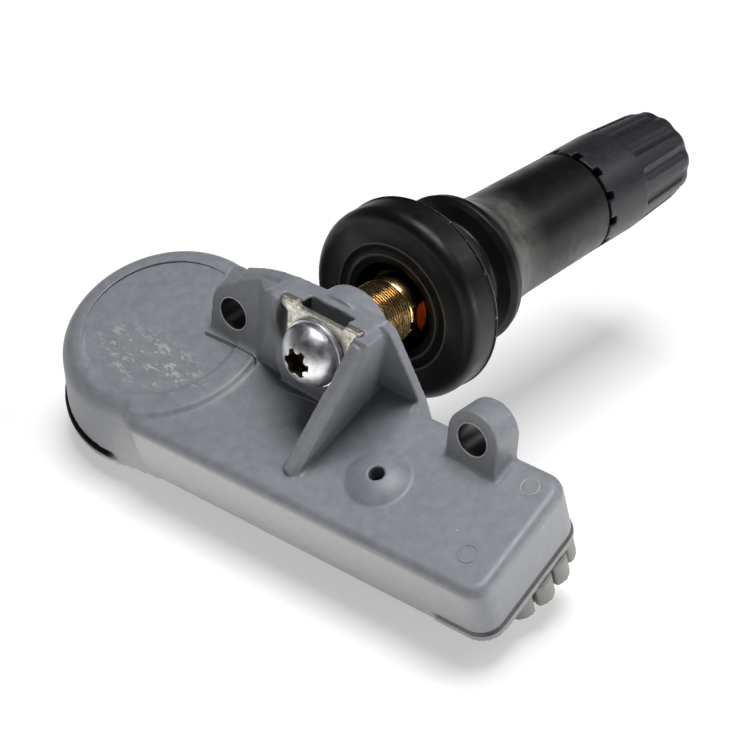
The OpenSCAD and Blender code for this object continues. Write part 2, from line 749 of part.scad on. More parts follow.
module valve_cap() {
    color([0.14, 0.14, 0.16])
    difference() {
        turned() {
            polygon([[0, cap_start], [cap_skirt_radius, cap_start], [cap_skirt_radius, cap_start + 5.8],
                [cap_tip_radius, cap_tip - 0.8], [0, cap_tip - 0.8]]);
            translate([0, cap_tip - 1.6]) square([cap_tip_radius - 0.8, 1.6]);
            translate([cap_tip_radius - 0.8, cap_tip - 0.8]) circle(0.8);
        }
        rod(cap_bore, cap_start - 1, seal_face);
        rod(3.6, seal_face - 0.1, seal_face + cap_seal_thick);
        rod(cap_bore + 0.6, cap_start - 1, cap_start + 1.2);
        for (i = [0 : cap_flutes - 1]) rotate([0, i * 360 / cap_flutes, 0]) {
            // flute on the outer half
            translate([0, cap_start + 6.4 - rim_station, 5.75]) rotate([-94, 0, 0]) cylinder(r = 0.8, h = 12);
            // notch in the skirt
            translate([-0.45, cap_start - 1 - rim_station, 3]) cube([0.9, 1.9, 4]);
        }
    }
}

module cap_seal() {
    color([0.25, 0.08, 0.07])
    rod(3.6, seal_face, seal_face + cap_seal_thick);
}

housing();
bottom_cover();
potting();
circuit_board();
coin_cell();
cell_tab_upper();
cell_tab_lower();
sensor_chip();
port_seal();
coil_core();
coil_winding();
crystal();
capacitors();
antenna_strip();
saddle_plate();
screw_washer();
clamp_screw();
stem_insert();
valve_rubber();
core_body();
core_gasket();
core_pin();
pin_seal();
core_spring();
valve_cap();
cap_seal();
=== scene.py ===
import math

import bmesh
import bpy
from mathutils import Matrix, Vector


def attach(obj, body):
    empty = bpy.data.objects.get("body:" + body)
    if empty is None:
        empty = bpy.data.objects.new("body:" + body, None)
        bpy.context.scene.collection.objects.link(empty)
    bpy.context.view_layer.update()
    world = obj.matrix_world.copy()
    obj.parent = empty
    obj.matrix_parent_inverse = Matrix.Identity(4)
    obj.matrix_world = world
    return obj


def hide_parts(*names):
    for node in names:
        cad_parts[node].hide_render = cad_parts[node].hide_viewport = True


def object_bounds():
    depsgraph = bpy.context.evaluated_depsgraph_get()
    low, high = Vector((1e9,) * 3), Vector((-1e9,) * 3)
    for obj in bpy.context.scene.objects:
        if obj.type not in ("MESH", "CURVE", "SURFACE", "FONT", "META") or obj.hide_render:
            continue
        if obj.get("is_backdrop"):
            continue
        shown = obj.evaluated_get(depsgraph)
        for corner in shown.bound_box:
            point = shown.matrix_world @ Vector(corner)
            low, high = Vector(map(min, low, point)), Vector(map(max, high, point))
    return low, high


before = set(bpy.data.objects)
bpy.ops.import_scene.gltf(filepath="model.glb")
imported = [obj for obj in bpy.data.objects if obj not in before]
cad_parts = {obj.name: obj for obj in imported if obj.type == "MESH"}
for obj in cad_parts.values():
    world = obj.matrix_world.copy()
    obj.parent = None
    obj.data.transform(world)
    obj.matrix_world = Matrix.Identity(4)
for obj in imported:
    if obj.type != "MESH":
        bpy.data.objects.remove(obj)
low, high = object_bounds()
mm = 0.001

# what several pieces and materials share, as in the CAD source; here and below, lengths are in mm
layout = {
    "tilt": 22.8,  # degrees between the valve axis and the housing's flat
    "wallTurn": 2.9,  # degrees, the long walls against the ear line
    "axisHeight": 12.3,  # station 0 of the valve, over the housing's foot
    "axisBack": 7.0,  # and along the flat
    "rimStation": 12.3,  # station of the rim groove, where the frame's origin lies
    "bodyTop": 7.3,
    "batteryTop": 7.7,
    "batteryCentre": (-19.5, 1.3),
    "ears": {"left": -12.7, "right": 15.74},
    "earDrop": 3.25,  # the ear holes under the valve axis
    "faceRibs": (5.2, 6.3),  # radii of the fine ribs on the rubber's face
}
tiltAngle = math.radians(layout["tilt"])
bodyFrame = Matrix.Rotation(tiltAngle, 4, "X") @ Matrix.Translation(Vector((
    0,
    -(layout["axisBack"] + layout["rimStation"] * math.cos(tiltAngle)),
    -(layout["axisHeight"] - layout["rimStation"] * math.sin(tiltAngle)))) * mm)
wallFrame = bodyFrame @ Matrix.Rotation(math.radians(layout["wallTurn"]), 4, "Z")
wallInverse = wallFrame.inverted()
print("frame loaded,", len(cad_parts), "nodes")


def hexColor(text):
    # sRGB hex to the linear colour that the shader wants
    channels = [int(text[i:i + 2], 16) / 255 for i in (1, 3, 5)]
    return [c / 12.92 if c <= 0.04045 else ((c + 0.055) / 1.055) ** 2.4 for c in channels] + [1]


def newMaterial(name):
    made = bpy.data.materials.new(name)
    made.use_nodes = True
    return made, made.node_tree, made.node_tree.nodes["Principled BSDF"]


def addNode(tree, kind, settings=None, links=None):
    # links maps an input's name or number to an output socket or a plain value
    node = tree.nodes.new(kind)
    for key, value in (settings or {}).items():
        setattr(node, key, value)
    for key, value in (links or {}).items():
        if isinstance(value, bpy.types.NodeSocket):
            tree.links.new(value, node.inputs[key])
        else:
            node.inputs[key].default_value = value
    return node


def objectCoordinates(tree):
    return addNode(tree, "ShaderNodeTexCoord").outputs["Object"]


def mapped(tree, matrix):
    # object coordinates as seen from another frame of the part
    return addNode(tree, "ShaderNodeMapping", {"vector_type": "TEXTURE"}, {
        "Vector": objectCoordinates(tree),
        "Location": matrix.translation, "Rotation": matrix.to_euler()}).outputs[0]


def axes(tree, place):
    return addNode(tree, "ShaderNodeSeparateXYZ", links={0: place}).outputs


def perMetre(size):
    # texture scale for a pattern of that size, on coordinates in metres
    return 1 / (size * mm)


def noise(tree, coordinates, size, detail=3, roughness=0.55):
    return addNode(tree, "ShaderNodeTexNoise", links={
        "Vector": coordinates, "Scale": perMetre(size),
        "Detail": detail, "Roughness": roughness}).outputs["Fac"]


def ramp(tree, value, stops):
    # stops are places from 0 to 1, each with a hex or a linear colour
    node = addNode(tree, "ShaderNodeValToRGB", links={"Fac": value})
    elements = node.color_ramp.elements
    while len(elements) < len(stops):
        elements.new(0.5)
    for element, (place, color) in zip(elements, stops):
        element.position = place
        element.color = hexColor(color) if isinstance(color, str) else color
    return node.outputs["Color"]


def cover(tree, color, mask, text):
    # lays a hex colour over the first one, where the mask is 1; a mix node's colours are inputs 6 and 7
    return addNode(tree, "ShaderNodeMix", {"data_type": "RGBA"}, {
        0: mask, 6: color, 7: hexColor(text)}).outputs[2]


def calc(tree, kind, first, second=0.0):
    return addNode(tree, "ShaderNodeMath", {"operation": kind}, {0: first, 1: second}).outputs[0]


def product(tree, first, *others):
    for other in others:
        first = calc(tree, "MULTIPLY", first, other)
    return first


def vectorCalc(tree, kind, first, second=(0, 0, 0)):
    return addNode(tree, "ShaderNodeVectorMath", {"operation": kind}, {0: first, 1: second}).outputs


def fade(tree, value, ends, results=(0.0, 1.0), soft=False):
    # goes from one result to the other between the two ends, and holds outside them
    return addNode(tree, "ShaderNodeMapRange", {"interpolation_type": "SMOOTHSTEP" if soft else "LINEAR"}, {
        "Value": value, "From Min": ends[0], "From Max": ends[1],
        "To Min": results[0], "To Max": results[1]}).outputs[0]


def fadeAt(tree, value, ends, most=1.0, soft=False):
    # the same for a coordinate, with the ends in mm
    return fade(tree, value, [end * mm for end in ends], (0.0, most), soft)


def patch(tree, place, centre, reach):
    # 1 over the inner third, fading to 0 at reach (each way)
    off = vectorCalc(tree, "SUBTRACT", place, [c * mm for c in centre])[0]
    share = vectorCalc(tree, "DIVIDE", off, [r * mm for r in reach])[0]
    return fade(tree, vectorCalc(tree, "LENGTH", share)["Value"], (0.35, 1.0), (1.0, 0.0), soft=True)


def within(tree, value, ends):
    # 1 between two places in mm, else 0
    lowest, highest = ends
    return addNode(tree, "ShaderNodeMath", {"operation": "COMPARE"}, {
        0: value, 1: (lowest + highest) / 2 * mm, 2: (highest - lowest) / 2 * mm}).outputs[0]


def distance(tree, value, centre):
    # how far a coordinate is from one place in mm
    return calc(tree, "ABSOLUTE", calc(tree, "SUBTRACT", value, centre * mm))


def fromAxis(tree, place, centre=(0, 0, 0)):
    # distance from a line along the valve through centre
    moved = vectorCalc(tree, "SUBTRACT", place, [c * mm for c in centre])[0]
    return vectorCalc(tree, "LENGTH", vectorCalc(tree, "MULTIPLY", moved, (1, 0, 1))[0])["Value"]


# nearly all of a noise's values lie between these; below, each noise is given as size, detail
# and roughness, and each bump as depth and strength
noiseSpread = (0.3, 0.7)


def setRoughness(tree, shader, cloud, results):
    tree.links.new(fade(tree, cloud, noiseSpread, results), shader.inputs["Roughness"])


def bump(tree, shader, height, depth, strength, normal=None):
    # normal is an earlier bump that this one adds to
    links = {"Height": height, "Distance": depth * mm, "Strength": strength}
    if normal is not None:
        links["Normal"] = normal
    node = addNode(tree, "ShaderNodeBump", links=links)
    tree.links.new(node.outputs["Normal"], shader.inputs["Normal"])
    return node.outputs["Normal"]


glassFilledNylon = {
    "fibres": [(0.36, "#7d8086"), (0.5, "#82858b"), (0.64, "#888b91")],  # glass clouds, dark to pale
    "scuff": "#c4c5c4",
    # painted shade in the groove
    "grooveShadeColor": "#141312",
    # painted shade round the screw
    "pocketShade": "#343436",
    # painted shade for the slot and the ear holes
    "bore": "#222224",
    "roughness": (0.37, 0.51),
    "ior": 1.53,
    "mottle": (1.1, 6, 0.66),
    "grain": (0.1, 3),
    "grainBump": (0.01, 0.5),
    "scuffBump": (0.05, 0.6),
}
# where the housing is worn, and where painted shade lies in the groove and round the screw;
# the scuffs and the groove are placed in the flat's frame, the rest in the valve's
housingWear = {
    "scuffCentre": (-18.2, -3.4, 7.7),
    "scuffReach": (8.5, 3.9, 1.2),
    "scuffTurn": (0, 0, 0.5),
    "scuffStretch": (0.7, 1.5, 1),
    "flakes": (1.0, 6, 0.72),
    "flakeEdge": (0.52, 0.58),
    "scuffCover": 0.68,
    "grooveHeight": 0.98,
    "grooveEdge": (0.32, 0.2),
    "squareEnd": (18.9, 19.5),
    "roundEnd": (-18.4, -19.0),
    "pocketShadeEdge": (6.0, 4.6),
    "pocketShadeCover": 0.85,
    "pocketShadeRight": (3.4, 2.2),
    "pocketShadeFront": (-21.2, -19.6),
    "pocketShadeBack": (-16.6, -17.4),
    "slot": ((-2.7, 2.7), (-16.95, -15.6), (1.5, 3.7)),
    "boreEdge": (1.74, 1.62),
    "boreLength": (-15, -11),
    "speckSpacing": 3.2,
    "speckEdge": (0.035, 0.02),
    "speckCover": 0.55,
}


def grooveShade(tree, flatPlace):
    # painted shade in the groove over the lips, at both ends
    x, _, z = axes(tree, flatPlace)
    off = distance(tree, z, housingWear["grooveHeight"])
    groove = fadeAt(tree, off, housingWear["grooveEdge"], soft=True)
    ends = [fadeAt(tree, x, housingWear[key]) for key in ("squareEnd", "roundEnd")]
    return product(tree, groove, calc(tree, "ADD", *ends))


def screwPocketShade(tree, place):
    # painted shade in the pocket round the screw, fading out before the gusset
    x, y, _ = axes(tree, place)
    pocketShaded = fadeAt(tree, fromAxis(tree, place), housingWear["pocketShadeEdge"], housingWear["pocketShadeCover"])
    for value, key in ((x, "pocketShadeRight"), (y, "pocketShadeFront"), (y, "pocketShadeBack")):
        pocketShaded = product(tree, pocketShaded, fadeAt(tree, value, housingWear[key]))
    return pocketShaded


def makeHousingNylon():
    # injection-moulded PA66 with glass fibre: matt blue-grey, cloudy at the skin,
    # rubbed pale on the battery end
    look, wear = glassFilledNylon, housingWear
    material, tree, shader = newMaterial("mouldedGlassFilledNylon")
    place, flatPlace = objectCoordinates(tree), mapped(tree, bodyFrame)
    clouds = noise(tree, place, *look["mottle"])
    color = ramp(tree, clouds, look["fibres"])
    askew = addNode(tree, "ShaderNodeMapping", links={
        "Vector": flatPlace, "Rotation": wear["scuffTurn"], "Scale": wear["scuffStretch"]}).outputs[0]
    flakes = fade(tree, noise(tree, askew, *wear["flakes"]), wear["flakeEdge"])
    worn = product(tree, patch(tree, flatPlace, wear["scuffCentre"], wear["scuffReach"]), flakes)
    color = cover(tree, color, product(tree, worn, wear["scuffCover"]), look["scuff"])
    color = cover(tree, color, grooveShade(tree, flatPlace), look["grooveShadeColor"])
    color = cover(tree, color, screwPocketShade(tree, place), look["pocketShade"])
    # painted shade over the slot behind the plate
    spot = axes(tree, place)
    slot = product(tree, *[within(tree, value, ends) for value, ends in zip(spot, wear["slot"])])
    color = cover(tree, color, slot, look["bore"])
    # and painted shade inside each drilled ear
    for across in layout["ears"].values():
        away = fromAxis(tree, place, (across, 0, -layout["earDrop"]))
        bore = product(tree, fadeAt(tree, away, wear["boreEdge"]), within(tree, spot[1], wear["boreLength"]))
        color = cover(tree, color, bore, look["bore"])
    dots = addNode(tree, "ShaderNodeTexVoronoi", {"feature": "F1"}, {
        "Vector": place, "Scale": perMetre(wear["speckSpacing"]), "Randomness": 1.0}).outputs["Distance"]
    specks = fade(tree, dots, wear["speckEdge"], (0.0, wear["speckCover"]))
    color = cover(tree, color, specks, look["scuff"])
    tree.links.new(color, shader.inputs["Base Color"])
    setRoughness(tree, shader, clouds, look["roughness"])
    shader.inputs["IOR"].default_value = look["ior"]
    skin = bump(tree, shader, noise(tree, place, *look["grain"]), *look["grainBump"])
    bump(tree, shader, worn, *look["scuffBump"], skin)
    return material


epdm = {
    "black": "#0c0c0e",
    "neckDustAndSheen": "#62625f",
    "rub": "#6b6a66",
    "chip": "#b9b4a8",
    "roughness": (0.32, 0.5),
    "ior": 1.36,
    "cloud": (1.6, 5, 0.6),
    "dustClear": (0.35, 0.7),
    "dustCover": (0.4, 0.95),
    "neckStart": (3.2, 5.0),  # along the valve from the rim groove
    "neckEnd": (11, 6.5),
    "ringPlace": -3.53,
    "ringEdge": (0.16, 0.08),
    "chips": (0.5, 4, 0.7),
    "chipEdge": (0.6, 0.66),
    "chipCover": 0.7,
    "facePlace": (-6.9, -6.95),
    "ribEdge": (0.14, 0.06),
    "ribCover": 0.8,
    "grain": (0.16, 3),
    "grainBump": (0.006, 0.6),
    "ripple": (2.4, 3),
    "rippleBump": (0.05, 0.5),
}


def makeRubber():
    # carbon-black EPDM, satin from its mould, with grey dust and a painted grey sheen on the neck
    # and pale chips on the parting ring
    material, tree, shader = newMaterial("mouldedEpdmRubber")
    place = objectCoordinates(tree)
    cloud = noise(tree, place, *epdm["cloud"])
    station = axes(tree, place)[1]
    # grey dust on the neck, partly a painted sheen
    neck = [fadeAt(tree, station, epdm[key], soft=True) for key in ("neckStart", "neckEnd")]
    neckDustAndSheen = product(tree, *neck, fade(tree, cloud, epdm["dustClear"], epdm["dustCover"]))
    color = cover(tree, hexColor(epdm["black"]), neckDustAndSheen, epdm["neckDustAndSheen"])
    ring = fadeAt(tree, distance(tree, station, epdm["ringPlace"]), epdm["ringEdge"])
    chips = fade(tree, noise(tree, place, *epdm["chips"]), epdm["chipEdge"])
    color = cover(tree, color, product(tree, ring, chips, epdm["chipCover"]), epdm["chip"])
    # the mould's fine ribs on the face are rubbed grey
    face = fadeAt(tree, station, epdm["facePlace"])
    for radius in layout["faceRibs"]:
        rib = fadeAt(tree, distance(tree, fromAxis(tree, place), radius), epdm["ribEdge"], epdm["ribCover"])
        color = cover(tree, color, product(tree, rib, face), epdm["rub"])
    tree.links.new(color, shader.inputs["Base Color"])
    setRoughness(tree, shader, cloud, epdm["roughness"])
    shader.inputs["IOR"].default_value = epdm["ior"]
    fine = bump(tree, shader, noise(tree, place, *epdm["grain"]), *epdm["grainBump"])
    bump(tree, shader, noise(tree, place, *epdm["ripple"]), *epdm["rippleBump"], fine)
    return material


def makeMetal(name, look):
    # a bare metal whose colour and sheen follow one cloud or streak
    material, tree, shader = newMaterial(name)
    place = objectCoordinates(tree)
    stretched = addNode(tree, "ShaderNodeMapping", links={
        "Vector": place, "Scale": look["streak"]}).outputs[0]
    cloud = noise(tree, stretched, *look["cloud"])
    color = ramp(tree, cloud, look["stops"])
    tree.links.new(color, shader.inputs["Base Color"])
    shader.inputs["Metallic"].default_value = 1.0
    setRoughness(tree, shader, cloud, look["roughness"])
    return material, tree, shader, place, cloud, color


brass = {
    "cloud": (0.9, 4, 0.7),
    "stops": [(0.3, "#86673a"), (0.5, "#d0ad74"), (0.7, "#f2e0b4")],
    "roughness": (0.16, 0.3),
    "streak": (1, 6, 1),
    "lineBump": (0.01, 0.5),
    "wellShade": "#3a2a16",
    "wellShadeCover": 0.9,
    "wellStart": (-6.9, -6.2),
    "wellEnd": (10, 9),
    # painted orange reflection on the polished flat
    "glow": "#e08a3c",
    "flatFace": (2.74, 2.77),
    "flatLength": (-7.3, -5.9),
}


def makeBrass():
    # turned brass, gold with browner streaks round the turning, with painted shade in the rubber's well;
    # the one polished flat has a painted orange reflection
    material, tree, shader, place, lines, color = makeMetal("turnedBrass", brass)
    across, station, _ = axes(tree, place)
    # painted shade inside the rubber's well
    well = [fadeAt(tree, station, brass[key]) for key in ("wellStart", "wellEnd")]
    color = cover(tree, color, product(tree, *well, brass["wellShadeCover"]), brass["wellShade"])
    # painted orange reflection over the polished flat
    flat = product(tree, fadeAt(tree, across, brass["flatFace"]), within(tree, station, brass["flatLength"]))
    tree.links.new(cover(tree, color, flat, brass["glow"]), shader.inputs["Base Color"])
    bump(tree, shader, lines, *brass["lineBump"])
    return material


tin = {
    "cloud": (0.7, 6, 0.7),
    "stops": [(0.35, "#8f8b80"), (0.5, "#c9c5ba"), (0.65, "#ece9e0")],
    "roughness": (0.45, 0.25),
    "streak": (1, 1, 1),
    "pits": (0.22, 4, 0.7),
    "pitBump": (0.05, 0.9),
    "blotchBump": (0.12, 0.7),
}


def makeTinned():
    # hot-tinned steel sheet: bright, pitted, with duller blotches
    material, tree, shader, place, blotch, _ = makeMetal("tinnedSteel", tin)
    pits = bump(tree, shader, noise(tree, place, *tin["pits"]), *tin["pitBump"])
    bump(tree, shader, blotch, *tin["blotchBump"], pits)
    return material


zinc = {
    "cloud": (0.8, 5, 0.65),
    "stops": [(0.35, "#b4b5b8"), (0.65, "#dcdde0")],
    "roughness": (0.34, 0.46),
    "streak": (1, 1, 1),
    "ripple": (0.35, 4),
    "rippleBump": (0.004, 0.5),
}


def makePolishedSteel():
    # zinc-plated steel, the domed head pressed bright in its die, with a soft haze
    material, tree, shader, place, _, _ = makeMetal("polishedScrewSteel", zinc)
    bump(tree, shader, noise(tree, place, *zinc["ripple"]), *zinc["rippleBump"])
    return material


plainLook = {
    "cloud": 6,  # grains to a cloud
    "cloudDetail": 4,
    "shade": 0.12,  # the cloud's colour, to each side
    "spread": 0.05,  # and its roughness
    "strength": 0.7,
}


def makePlain(name, text, roughness, grain, depth=0.01, metallic=0.0, ior=1.5):
    # one finish with its colour and sheen broken up by the same fine noise
    material, tree, shader = newMaterial(name)
    place = objectCoordinates(tree)
    cloud = noise(tree, place, grain * plainLook["cloud"], plainLook["cloudDetail"])
    base = hexColor(text)[:3]
    shares = (1 - plainLook["shade"], 1 + plainLook["shade"])
    shades = [[min(c * share, 1) for c in base] + [1] for share in shares]
    tree.links.new(ramp(tree, cloud, list(zip(noiseSpread, shades))), shader.inputs["Base Color"])
    setRoughness(tree, shader, cloud, (roughness - plainLook["spread"], roughness + plainLook["spread"]))
    shader.inputs["Metallic"].default_value = metallic
    if not metallic:
        shader.inputs["IOR"].default_value = ior
    bump(tree, shader, noise(tree, place, grain), depth, plainLook["strength"])
    return material


housingNylon = makeHousingNylon()
# unpainted nylon of another batch: warm grey, satin
coverNylon = makePlain("mouldedCoverNylon", "#807f7b", roughness=0.46, grain=0.15)
valveRubber = makeRubber()
# black nylon, with a soft sheen along the flutes
capNylon = makePlain("mouldedCapNylon", "#242429", roughness=0.42, grain=0.14, depth=0.012, ior=1.45)
turnedBrass = makeBrass()
tinnedSteel = makeTinned()
polishedSteel = makePolishedSteel()
# painted shade in the screw's recess: brown-black
recessShadeSteel = makePlain("paintedRecessShade", "#40382c", roughness=0.35, grain=0.2)
# nylon squeezed thin at a parting line, paler than the wall, and partly a painted highlight on the lit side
# of the step
flashHighlightNylon = makePlain("mouldFlashPaintedHighlight", "#a9abad", roughness=0.4, grain=0.15)
# painted shade: a dark line along a root's crease
creaseShade = makePlain("paintedCreaseShade", "#2e2e30", roughness=0.6, grain=0.15)
# painted highlight: a bright line round a hole's rim
rimHighlightNylon = makePlain("paintedRimHighlight", "#b9bab8", roughness=0.3, grain=0.15)
# drawn wire, even and bright
springSteel = makePlain("springSteel", "#b8b8b8", roughness=0.3, grain=0.2, depth=0.004, metallic=1.0)
# cell, tabs and crystal can: clean, slightly yellow metal
nickelSteel = makePlain("nickelPlatedSteel", "#c0beb8", roughness=0.25, grain=0.3, depth=0.005, metallic=1.0)
# lacquered board: deep green
solderMask = makePlain("greenSolderMask", "#1c6b3c", roughness=0.35, grain=0.4)
# the chip's package: matt black
epoxyBlack = makePlain("epoxyMouldingCompound", "#1d1d1f", roughness=0.55, grain=0.12)
# poured resin: black and a little glossy
pottingResin = makePlain("pottingResin", "#26262a", roughness=0.3, grain=0.8, depth=0.03)
# fired ferrite: dull charcoal
ferrite = makePlain("sinteredFerrite", "#3a3838", roughness=0.5, grain=0.12)
# enamelled wire: reddish copper
copperWire = makePlain("enamelledCopperWire", "#b0622e", roughness=0.3, grain=0.12, metallic=1.0)
# fired ceramic chips: tan
ceramicTan = makePlain("ceramicChipCapacitor", "#a98763", roughness=0.45, grain=0.1)
# nitrile gasket: dark red
redRubber = makePlain("nitrileGasket", "#7a2018", roughness=0.5, grain=0.15)
# nitrile seal: black
blackRubber = makePlain("nitrileSeal", "#1b1b1d", roughness=0.5, grain=0.15)

nodeMaterials = {
    "housing": housingNylon, "bottom_cover": coverNylon, "potting": pottingResin,
    "circuit_board": solderMask, "coin_cell": nickelSteel, "cell_tab_upper": nickelSteel,
    "cell_tab_lower": nickelSteel, "sensor_chip": epoxyBlack, "port_seal": blackRubber,
    "coil_core": ferrite, "coil_winding": copperWire, "crystal": nickelSteel, "capacitors": ceramicTan,
    "antenna_strip": turnedBrass, "saddle_plate": tinnedSteel, "screw_washer": polishedSteel,
    "clamp_screw": polishedSteel, "stem_insert": turnedBrass, "valve_rubber": valveRubber,
    "core_body": turnedBrass, "core_gasket": redRubber, "core_pin": turnedBrass, "pin_seal": blackRubber,
    "core_spring": springSteel, "valve_cap": capNylon, "cap_seal": redRubber,
}
for name, material in nodeMaterials.items():
    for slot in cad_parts[name].material_slots:
        slot.material = material
print("materials set on", len(nodeMaterials), "nodes")


def linkObject(name, data):
    made = bpy.data.objects.new(name, data)
    bpy.context.scene.collection.objects.link(made)
    return made


def meshData(mesh, name):
    # hands a bmesh over to a new mesh
    data = bpy.data.meshes.new(name)
    mesh.to_mesh(data)
    mesh.free()
    return data


def finishPiece(mesh, name, material, body, node=None):
    # turns a bmesh into a piece that rides on a CAD body
    data = meshData(mesh, name)
    piece = linkObject(name, data)
    data.materials.append(material)
    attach(piece, body)
    if node:
        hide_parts(node)
    return piece


def appendSolid(mesh, other):
    # adds a second closed bmesh to the first
    data = meshData(other, "joined")
    mesh.from_mesh(data)
    bpy.data.meshes.remove(data)


def block(lowest, highest, matrix):
    mesh = bmesh.new()
    for vert in bmesh.ops.create_cube(mesh, size=1)["verts"]:
        place = [(a + b) / 2 * mm + c * (b - a) * mm for a, b, c in zip(lowest, highest, vert.co)]
        vert.co = matrix @ Vector(place)
    return mesh


def rod(radius, length, matrix, sides=64):
    # solid rod from the matrix's origin along its +Z
    mesh = bmesh.new()
    bmesh.ops.create_cone(mesh, cap_ends=True, segments=sides, radius1=radius * mm, radius2=radius * mm,
                          depth=length * mm, matrix=matrix @ Matrix.Translation((0, 0, length / 2 * mm)))
    return mesh


def prism(places, push):
    # a closed solid between one flat face and its copy, moved by push
    mesh = bmesh.new()
    face = mesh.faces.new([mesh.verts.new(place) for place in places])
    pushed = bmesh.ops.extrude_face_region(mesh, geom=[face])["geom"]
    moved = [item for item in pushed if isinstance(item, bmesh.types.BMVert)]
    bmesh.ops.translate(mesh, verts=moved, vec=push)
    bmesh.ops.recalc_face_normals(mesh, faces=mesh.faces)
    return mesh


def circle(radius, count):
    # places evenly round a centre
    turns = [math.tau * k / count for k in range(count)]
    return [(radius * math.cos(a), radius * math.sin(a)) for a in turns]


def along(station, across=0.0, up=0.0):
    return Vector((across, station - layout["rimStation"], up))


def stationOf(place):
    return place.y / mm + layout["rimStation"]


mergeReach = {"cad": 0.002, "spun": 0.0005}
relaxFactor = 0.5


def bakeShape(piece):
    # the modifiers become the piece's own mesh
    bpy.context.view_layer.update()
    graph = bpy.context.evaluated_depsgraph_get()
    result = bpy.data.meshes.new_from_object(piece.evaluated_get(graph))
    piece.modifiers.clear()
    old = piece.data
    piece.data = result
    result.name = old.name + "Shape"
    bpy.data.meshes.remove(old)


def skinPiece(node, name, material, body, look, fillers=(), grid=Matrix.Identity(4)):
    # the node's own shape under one even skin, so its moulded edges and roots turn round;
    # the skin's cells line up with the grid frame, which keeps its flats flat
    mesh = bmesh.new()
    mesh.from_mesh(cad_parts[node].data)
    bmesh.ops.remove_doubles(mesh, verts=mesh.verts, dist=mergeReach["cad"] * mm)
    for filler in fillers:
        appendSolid(mesh, filler)
    mesh.transform(grid.inverted())
    piece = finishPiece(mesh, name, material, body, node)
    skin = piece.modifiers.new("skin", "REMESH")
    skin.mode = "VOXEL"
    skin.voxel_size = look["voxel"] * mm
    skin.use_smooth_shade = True
    relax = piece.modifiers.new("relax", "SMOOTH")
    relax.factor = relaxFactor
    relax.iterations = look["relax"]
    if "keep" in look:
        thin = piece.modifiers.new("thin", "DECIMATE")
        thin.ratio = look["keep"]
    bakeShape(piece)
    piece.data.transform(grid)
    print(name, len(piece.data.polygons), "faces")
    return piece


def soften(piece, inside, passes):
    # evens out one stretch of a dense skin, where the real moulding runs out softly
    mesh = bmesh.new()
    mesh.from_mesh(piece.data)
    chosen = [vert for vert in mesh.verts if inside(vert.co)]
    for _ in range(passes):
        bmesh.ops.smooth_vert(mesh, verts=chosen, factor=relaxFactor,
                              use_axis_x=True, use_axis_y=True, use_axis_z=True)
    mesh.to_mesh(piece.data)
    mesh.free()


def cutBy(piece, tool, name):
    # takes a closed bmesh out of a piece, and leaves no modifier behind
    data = meshData(tool, name)
    holder = linkObject(name, data)
    cut = piece.modifiers.new(name, "BOOLEAN")
    cut.operation = "DIFFERENCE"
    cut.solver = "EXACT"
    cut.object = holder
    bakeShape(piece)
    bpy.data.objects.remove(holder)
    bpy.data.meshes.remove(data)


def roundedLine(corners, steps=5):
    # (radius, station, rounding) corners to a smooth profile
    points = []
    for i, (r, s, rounding) in enumerate(corners):
        here = Vector((r, s))
        if not rounding:
            points.append(here)
            continue
        before = (Vector(corners[i - 1][:2]) - here).normalized()
        after = (Vector(corners[(i + 1) % len(corners)][:2]) - here).normalized()
        half = before.angle(after) / 2
        reach = rounding / math.tan(half)
        centre = here + (before + after).normalized() * (rounding / math.sin(half))
        start, end = here + before * reach - centre, here + after * reach - centre
        sweep = start.angle_signed(end)
        for k in range(steps + 1):
            points.append(centre + Matrix.Rotation(-sweep * k / steps, 2) @ start)
    return points


def spunPiece(corners, name, material, body, node, sides, closed=True):
    # a profile of radius and station turned round the valve axis
    mesh = bmesh.new()
    points = roundedLine(corners)
    verts = [mesh.verts.new((p.x * mm, (p.y - layout["rimStation"]) * mm, 0)) for p in points]
    edges = [mesh.edges.new((a, b)) for a, b in zip(verts, verts[1:] + verts[:1] if closed else verts[1:])]
    bmesh.ops.spin(mesh, geom=verts + edges, cent=(0, 0, 0), axis=(0, 1, 0), angle=math.tau, steps=sides,
                   use_merge=True, use_normal_flip=False)
    bmesh.ops.remove_doubles(mesh, verts=mesh.verts, dist=mergeReach["spun"] * mm)
    bmesh.ops.recalc_face_normals(mesh, faces=mesh.faces)
    for face in mesh.faces:
        face.smooth = True
    return finishPiece(mesh, name, material, body, node)


def keepSharp(piece, degrees, width=0.03):
    # breaks the edges over that angle, and keeps them crisp in a smooth shading
    bevel = piece.modifiers.new("brokenEdges", "BEVEL")
    bevel.width = width * mm
    bevel.segments = 2
    bevel.limit_method = "ANGLE"
    bevel.angle_limit = math.radians(degrees)
    bevel.harden_normals = True


def bead(points, thickness, name, material, body, matrix, closed=False):
    # thin round line along points
    curve = bpy.data.curves.new(name, "CURVE")
    curve.dimensions = "3D"
    curve.bevel_depth = thickness / 2 * mm
    curve.bevel_resolution = 2
    spline = curve.splines.new("POLY")
    spline.points.add(len(points) - 1)
    for point, place in zip(spline.points, points):
        point.co = (*(matrix @ (Vector(place) * mm)), 1)
    spline.use_cyclic_u = closed
    piece = linkObject(name, curve)
    curve.materials.append(material)
    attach(piece, body)
    return piece


